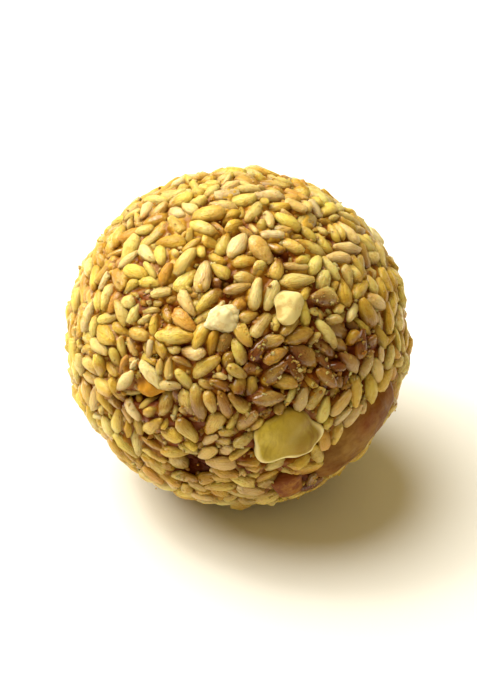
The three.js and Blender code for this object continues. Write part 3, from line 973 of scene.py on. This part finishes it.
def seedSkinGroup():
    # colour, roughness, wetness and relief of a seed under its glaze of syrup
    tree = bpy.data.node_groups.new("seedSkin", "ShaderNodeTree")
    for name, code in skinColors.items():
        addSocket(tree, "Color", name, linear(code))
    addSocket(tree, "Color", "Color", way="OUTPUT")
    for name in ("Roughness", "Wetness", "Height"):
        addSocket(tree, "Float", name, way="OUTPUT")
    given = addNode(tree, "NodeGroupInput").outputs
    where = onObject(tree)
    tone, clear, soakShade = [fromMesh(tree, name) for name in ("tone", "clear", "soakShade")]
    grain = fromMesh(tree, "grain", "Vector")
    # tone of the whole seed, a little uneven within it
    mottle = noise(where, 700)
    shade = calc("MULTIPLY_ADD", mottle, 0.6, tone)
    shade = remap(calc("MULTIPLY_ADD", noise(where, 300, 1), 1.5, shade), 0.98, 1.98)
    color = blend(remap(shade, 0.0, 0.5), given["Low Tone"], given["Mid Tone"])
    color = blend(remap(shade, 0.5, 1.0), color, given["High Tone"])
    # some seeds are more beige and some more lemon
    hue = calc("FRACT", calc("MULTIPLY", tone, 7.31))
    color = blend(remap(hue, 0.74, 0.88, 0.0, 0.24), color, "e6c488")
    color = blend(remap(hue, 0.34, 0.2, 0.0, 0.4), color, "dcd478")
    # the tip is browner, and so are fine specks
    color = blend(remap(alongOf(grain), 0.35, 1.05, 0.0, 0.45, smooth=True), color, given["Low Tone"])
    fine = remap(noise(where, 2400, 2), 0.52, 0.66, 0.0, 0.4)
    color = blend(fine, color, given["Low Tone"])
    # smears of syrup; soaked places, darker also as painted shade; and the stain that rises round the
    # waterline, which also paints shade on each seed's lower sides between its neighbours
    smear = remap(noise(where, 330, 2), 0.5, 0.68, 0.0, 0.4, smooth=True)
    color = blend(smear, color, given["Glaze"])
    uptake = remap(calc("FRACT", calc("MULTIPLY", tone, 3.7)), 0.2, 0.6, 0.2, 1.0)
    soakedAndShaded = calc("MULTIPLY", soakShade, calc("MAXIMUM", uptake, calc("POWER", soakShade, 5)))
    color = blend(soakedAndShaded, color, "661e06")
    stainAndShade = remap(clear, -0.1, 0.42, 1.0, 0.0, smooth=True)
    color = blend(calc("MULTIPLY", stainAndShade, remap(soakShade, 0.0, 0.6, 0.6, 0.9)), color, given["Stain And Shade"])
    # fine lengthwise wrinkles, other ones on every seed
    wrinkle = addNode(tree, "ShaderNodeTexNoise", noise_dimensions="4D")
    setInputs(wrinkle, {"Vector": stretched(grain, (1.2, 5, 5)), "W": calc("MULTIPLY", tone, 37),
                        "Scale": 1.6, "Detail": 3, "Roughness": 0.55})
    wet = remap(calc("ADD", smear, soakedAndShaded), 0.0, 0.7)
    rough = calc("MULTIPLY", remap(mottle, 0.3, 0.7, 0.38, 0.6), remap(wet, 0.0, 1.0, 1.0, 0.5))
    addNode(tree, "NodeGroupOutput", {
        "Color": color, "Roughness": rough, "Wetness": remap(wet, 0.0, 1.0, 0.2, 0.95),
        "Height": calc("MULTIPLY_ADD", fine, -0.5, wrinkle.outputs["Fac"]),
    })
    layOut(tree)
    return tree


def seedMaterial(name, colors):
    material = addMaterial(name)
    tones = dict(zip(("Low Tone", "Mid Tone", "High Tone"), map(linear, colors)))
    skin = addNode(material.node_tree, "ShaderNodeGroup", tones, node_tree=seedSkin).outputs
    return shaded(material, {
        "Base Color": skin["Color"], "Roughness": skin["Roughness"], "Coat Weight": skin["Wetness"],
        "Normal": bumped(skin["Height"], 1.0, 0.24 * mm), "IOR": 1.45, "Specular Tint": linear("ffdf9a"),
        "Coat Roughness": 0.15, "Coat IOR": 1.5, "Coat Tint": linear("fff0c4"),
        "Subsurface Weight": 0.35, "Subsurface Scale": 0.5 * mm, "Subsurface Radius": (1.0, 0.5, 0.12),
    })


def syrupMaterial():
    # paler where it lies thin near the seeds' tops, darker in the depths, partly as thicker syrup and partly
    # as painted shade between the seeds, and darker where it has soaked in and in the soak field's painted
    # shade
    material = addMaterial("jaggery_syrup")
    tree = material.node_tree
    where = onObject(tree)
    cloud = noise(where, 420, 4)
    depthShade = calc("MULTIPLY_ADD", cloud, 0.7, fromMesh(tree, "depth"))
    depthShade = calc("MULTIPLY_ADD", fromMesh(tree, "soakShade"), 0.62, depthShade)
    # painted shade: darker the deeper it lies below the seeds' reach
    shallowStop, deepShadeStop = (0.32, "bc9436"), (0.84, "46170a")
    color = ramp(calc("DIVIDE", depthShade, 2.0), shallowStop, deepShadeStop, (0.42, "906214"), (0.6, "6a3008"))
    return shaded(material, {
        "Base Color": color, "Roughness": remap(cloud, 0.3, 0.7, 0.06, 0.2),
        "Normal": bumped(noise(where, 1700, 3), 0.8, 0.2 * mm), "IOR": 1.45,
        "Specular Tint": linear("d98a34"), "Specular IOR Level": 0.35,
        "Coat Weight": remap(depthShade, 0.7, 1.5, 0.35, 0.0), "Coat Roughness": 0.04,
    })


def crumbMaterial():
    # brown, amber, yellow or ivory by the crumb's tone, with amber patches, and a stain that is also painted
    # shade where it meets the syrup
    material = addMaterial("nut_crumb")
    tree = material.node_tree
    where = onObject(tree)
    cloud = noise(where, 900, 4)
    color = ramp(fromMesh(tree, "tone"), (0, "743a18"), (1, "e0d4a4"), (0.35, "b98220"), (0.75, "e0ce88"))
    color = blend(remap(cloud, 0.34, 0.52, 0.5, 0.0, smooth=True), color, "b5822c")
    # stain and painted shade where the crumb meets the syrup
    color = blend(remap(fromMesh(tree, "clear"), 0.0, 0.5, 0.9, 0.0, smooth=True), color, "5a2c06")
    return shaded(material, {
        "Base Color": color, "Roughness": remap(cloud, 0.3, 0.7, 0.3, 0.5),
        "Normal": bumped(noise(where, 2200, 3), 0.5, 0.12 * mm), "IOR": 1.4,
        "Specular Tint": linear("ffe6b0"), "Specular IOR Level": 0.3,
        "Subsurface Weight": 0.3, "Subsurface Scale": 0.5 * mm, "Subsurface Radius": (1.0, 0.65, 0.25),
    })


seedSkin = seedSkinGroup()
scatter = scatterTree()


def shapeCollection(name, shapes):
    collection = bpy.data.collections.new(name)
    for shape in shapes:
        collection.objects.link(shape)
    return collection


seedForms = shapeCollection("seedShapes", [seedShape(k, shape) for k, shape in enumerate(seedShapes)])
shapeRng = np.random.default_rng(21)
shapeOf = shapeRng.integers(0, len(seedShapes), len(seeds["spot"]))
unevenness = ([0.93, 0.74, 0.98], [1.05, 0.94, 1.26])  # a seed's length, width and thickness, least and most
for number, kind in enumerate(kindNames):
    these = seeds["kind"] == number
    uneven = shapeRng.uniform(*unevenness, (these.sum(), 3))
    uneven[:, 1] *= np.where(seeds["hold"][these] < 1, accentForm["width"], 1)
    inputs = {"Shapes": seedForms, "Tone Seed": 11 + number, "Length": seedSize["length"],
              "Width": seedSize["width"], "Thickness": seedSize["thickness"],
              "Finish": seedMaterial(kind + "_seed", seedColors[kind])}
    mesh = scattered(kind + "_seeds", inputs, seeds["place"][these], seeds["axes"][these],
                     seeds["scale"][these, None] * uneven, shapeOf[these])
    restOnFloor(mesh)
    markWetAndShade(mesh)
    addPiece(kind + "_seeds", mesh, "seed_ball", *(["sesame_ball"] if kind == "golden" else []))
    print(f"{kind} seeds: {these.sum()}, {triangles(mesh)} triangles")
syrupMesh.materials.append(syrupMaterial())
addPiece("syrup_binder", syrupMesh, "seed_ball", "sesame_ball")


# Bits of broken seed and nut, caught in the syrup between the seeds and stuck on top of them.
bits = {
    "tries": 9000, "start": 33, "tilt": 0.6,
    "shapes": 4, "cells": 2, "dent": 0.3, "dentSize": 1.3,
    "gap": 0.6 * mm,  # how far below the seeds' reach the syrup lies where they are caught
    "stand": 0.08 * mm, "aboveFloor": 0.6 * mm, "room": 0.3 * mm,
    "onTop": 700, "onSoaked": 1200, "soakFrom": 0.4,  # on any top seed, and on soaked ones
    "spread": 0.45, "bedded": 0.94, "smaller": 0.48,  # of those on top
    "size": (0.85 * mm, 0.65 * mm, 0.55 * mm),
    "least": 0.3, "range": 0.8, "skew": 2.2, "uneven": (0.6, 1.4),  # most bits are small
}


def bitShape(index):
    # a broken crumb of seed, nut or hardened syrup
    points, faces, _ = quadSphere(bits["cells"])
    points = points * (1 + bits["dent"] * waves(points, bits["dentSize"], 80 + index))[:, None]
    return shapeObject(f"bitShape{index}", points, faces.tolist())


def bitPlaces():
    rng = np.random.default_rng(bits["start"])
    spots = unit(rng.normal(size=(bits["tries"], 3)))
    height = levelAt(spots, levels, syrupGrid)
    places = spots * (height + bits["stand"])[:, None]
    keep = outerRadius(spots) - height > bits["gap"]
    keep &= places[:, 2] > bits["aboveFloor"] - ballCentre[2]
    keep &= clearOf(places, bits["room"])
    soakedAndShaded = seeds["top"] & (soakAndShadeAt(unit(seeds["place"])) > bits["soakFrom"])
    under = np.concatenate([rng.choice(np.flatnonzero(seeds["top"]), bits["onTop"]),
                            rng.choice(np.flatnonzero(soakedAndShaded), bits["onSoaked"])])
    ball = rng.integers(0, len(seedBalls), len(under))
    middles, away = seeds["balls"][under, ball], seeds["radii"][under, ball]
    out = unit(unit(middles) + rng.normal(0, bits["spread"], middles.shape))
    places = np.concatenate([places[keep], middles + out * bits["bedded"] * away[:, None]])
    spots = unit(places)
    count = len(spots)
    small = np.where(np.arange(count) < keep.sum(), 1, bits["smaller"])[:, None]
    axes = lyingAxes(spots, rng.uniform(0, 2 * math.pi, count), rng.normal(0, bits["tilt"], count),
                     rng.uniform(0, 2 * math.pi, count))
    girth = small * (bits["least"] + bits["range"] * rng.random((count, 1)) ** bits["skew"])
    girth = girth * rng.uniform(*bits["uneven"], (count, 3))
    return places, axes, girth, rng.integers(0, bits["shapes"], count)


inputs = {"Shapes": shapeCollection("bitShapes", [bitShape(k) for k in range(bits["shapes"])]),
          "Tone Seed": 17, "Length": bits["size"][0], "Width": bits["size"][1], "Thickness": bits["size"][2],
          "Finish": seedMaterial("broken_bit", bitColors)}
places = bitPlaces()
bitMesh = scattered("syrup_bits", inputs, *places)
restOnFloor(bitMesh)
markWetAndShade(bitMesh, 0)
addPiece("syrup_bits", bitMesh, "seed_ball")
print(f"{len(places[0])} bits in the syrup, {triangles(bitMesh)} triangles")


def crumbPoints(crumb, sphere, start):
    # a broken crumb: flat breaks all round with rounded edges between them, and small lumps over it
    rng = np.random.default_rng(start)
    breaks = unit(rng.normal(size=(crumbForm["breaks"], 3)))
    facing = np.maximum(sphere @ breaks.T, 0) / rng.uniform(*crumbForm["breakReach"], crumbForm["breaks"])
    sharp = crumbForm["sharpness"]
    reach = np.minimum((facing ** sharp).sum(1) ** (-1 / sharp), crumbForm["longest"])
    lumps = sum(high * waves(sphere, size, start + k) for k, (high, size) in enumerate(crumbForm["lumps"]))
    turn = np.arctan2(sphere[:, 1], sphere[:, 0])
    reach *= outlineReach(crumb, turn) ** np.hypot(sphere[:, 0], sphere[:, 1])
    local = sphere * (reach + crumb["rough"] * lumps)[:, None] * np.array(crumb["size"]) / 2 * mm
    axes, place = standOn(crumb, crumbForm["proud"] - crumb.get("sunk", 0) * mm)
    return local @ axes.T + place + ballCentre


sphere, sphereFaces, _ = quadSphere(crumbForm["cells"])
allPoints = np.concatenate([crumbPoints(crumb, sphere, 90 + 3 * k) for k, crumb in enumerate(crumbs)])
allFaces = np.concatenate([sphereFaces + k * len(sphere) for k in range(len(crumbs))])
crumbMesh = meshFrom("nut_crumbs", allPoints, allFaces.tolist())
addAttribute(crumbMesh, "tone", np.repeat([crumb["tone"] for crumb in crumbs], len(sphere)))
markWetAndShade(crumbMesh)
crumbMesh.materials.append(crumbMaterial())
addPiece("nut_crumbs", crumbMesh, "seed_ball")
print("nut crumbs are in")


nutMesh = {"around": 72, "rings": 40, "rimDrop": 0.15, "rippleSize": 1.8 * mm, "dentSize": 1.7 * mm}
# far paints shade across each piece, strongest on the cashew flake.
fleshes = {
    "cashew_flesh": {"body": "c4b03a", "far": "806018", "rim": "f6e8a8", "streak": "a08c2c", "shine": 0.5,
                     "grain": (2.4, 0.4, 1), "patchy": 0.05, "rimFrom": 0.7, "stainShadeReach": 0.3},
    "peanut_flesh": {"body": "7a480a", "far": "745424", "rim": "b48e4a", "streak": "5e320a", "shine": 0.12,
                     "grain": (1.0, 0.8, 1), "patchy": 0.36, "rimFrom": 0.74, "stainShadeReach": 0.12},
    "cashew_cut": {"body": "d3b55a", "far": "cfae52", "rim": "ecdc98", "streak": "c29c40", "shine": 0.5,
                   "grain": (0.45, 2.2, 1), "patchy": 0.2, "rimFrom": 0.7, "stainShadeReach": 0.3},
}


def nutMaterial(name, look):
    # body at one end and far at the other: painted shade across the piece, the cashew flake darker at its end
    # away from the light and the peanut greyer at its lower end; with streaks along or across and patches as
    # pale as its rim
    material = addMaterial(name)
    tree = material.node_tree
    where, grain = onObject(tree), fromMesh(tree, "grain", "Vector")
    fine = noise(where, 1500, 4)
    # painted shade across the piece, from body to far
    color = blend(remap(alongOf(grain), -0.7, 0.7), look["far"], look["body"])
    color = blend(remap(noise(stretched(grain, look["grain"]), 3.2, 4), 0.45, 0.7), color, look["streak"])
    color = blend(remap(fine, 0.5, 0.66, 0.0, 0.35), color, look["streak"])
    color = blend(remap(noise(where, 330, 4), 0.44, 0.62, 0.0, look["patchy"]), color, look["rim"])
    edge = remap(fromMesh(tree, "edge"), look["rimFrom"], look["rimFrom"] + 0.14, smooth=True)
    color = blend(edge, color, look["rim"])
    # stain and painted shade where the piece meets the syrup, then the soak field with its painted shade
    stainAndShade = remap(fromMesh(tree, "clear"), -0.05, look["stainShadeReach"], 0.85, 0.0, smooth=True)
    color = blend(stainAndShade, color, "5a2c06")
    color = blend(calc("MULTIPLY", fromMesh(tree, "soakShade"), 0.5), color, "74280c")
    return shaded(material, {
        "Base Color": color, "Roughness": remap(fine, 0.3, 0.7, 0.36, 0.55),
        "Normal": bumped(fine, 0.45, 0.14 * mm), "IOR": 1.4, "Specular IOR Level": look["shine"],
        "Specular Tint": linear("f2d49c"), "Coat Weight": 0.1 * look["shine"], "Coat Roughness": 0.15,
        "Subsurface Weight": 0.3, "Subsurface Scale": 0.6 * mm, "Subsurface Radius": (1.0, 0.7, 0.25),
    })


def nutPoints(nut, start):
    # a flattened ball with its own outline, its place on the rim and its place in the flesh's grain
    polar = np.linspace(0, math.pi, nutMesh["rings"] + 2)[1:-1]
    turn = np.arange(nutMesh["around"]) * 2 * math.pi / nutMesh["around"]
    x = np.sin(polar)[:, None] * np.cos(turn)
    y = np.sin(polar)[:, None] * np.sin(turn)
    z = np.repeat(np.cos(polar)[:, None], nutMesh["around"], 1)
    points = np.stack([x, y, z], axis=2).reshape(-1, 3)
    points = np.concatenate([points, [[0, 0, 1], [0, 0, -1]]])
    around = np.arctan2(points[:, 1], points[:, 0])
    drop = nutMesh["rimDrop"]  # the rim fades on the side away from rimAt
    edge = np.hypot(points[:, 0], points[:, 1]) * (1 - drop + drop * np.cos(around - nut["rimAt"]))
    squared = np.sign(points) * np.abs(points) ** np.array([nut["boxy"], nut["boxy"], nut["flat"]])
    squared[:, :2] *= outlineReach(nut, around)[:, None]
    local = squared * nut["half"]
    ripple = 1 + nut["ripple"] * waves(local * [1, 1, 0], nutMesh["rippleSize"], start)
    local[:, :2] *= ripple[:, None]
    local[:, 2] += nut["dent"] * mm * waves(local, nutMesh["dentSize"], start + 1)
    return local @ nut["axes"].T + nut["place"] + ballCentre, edge, points


finishes = {name: nutMaterial(name, look) for name, look in fleshes.items()}
for k, (name, nut) in enumerate(nutFrames.items()):
    points, edge, grain = nutPoints(nut, 60 + 5 * k)
    mesh = meshFrom(name + "_flesh", points, ringFaces(nutMesh["rings"], nutMesh["around"]))
    addAttribute(mesh, "edge", edge)
    addAttribute(mesh, "grain", grain)
    markWetAndShade(mesh)
    mesh.materials.append(finishes[nut["flesh"]])
    addPiece(name + "_flesh", mesh, nut["slot"], name)
print("nut pieces are in")
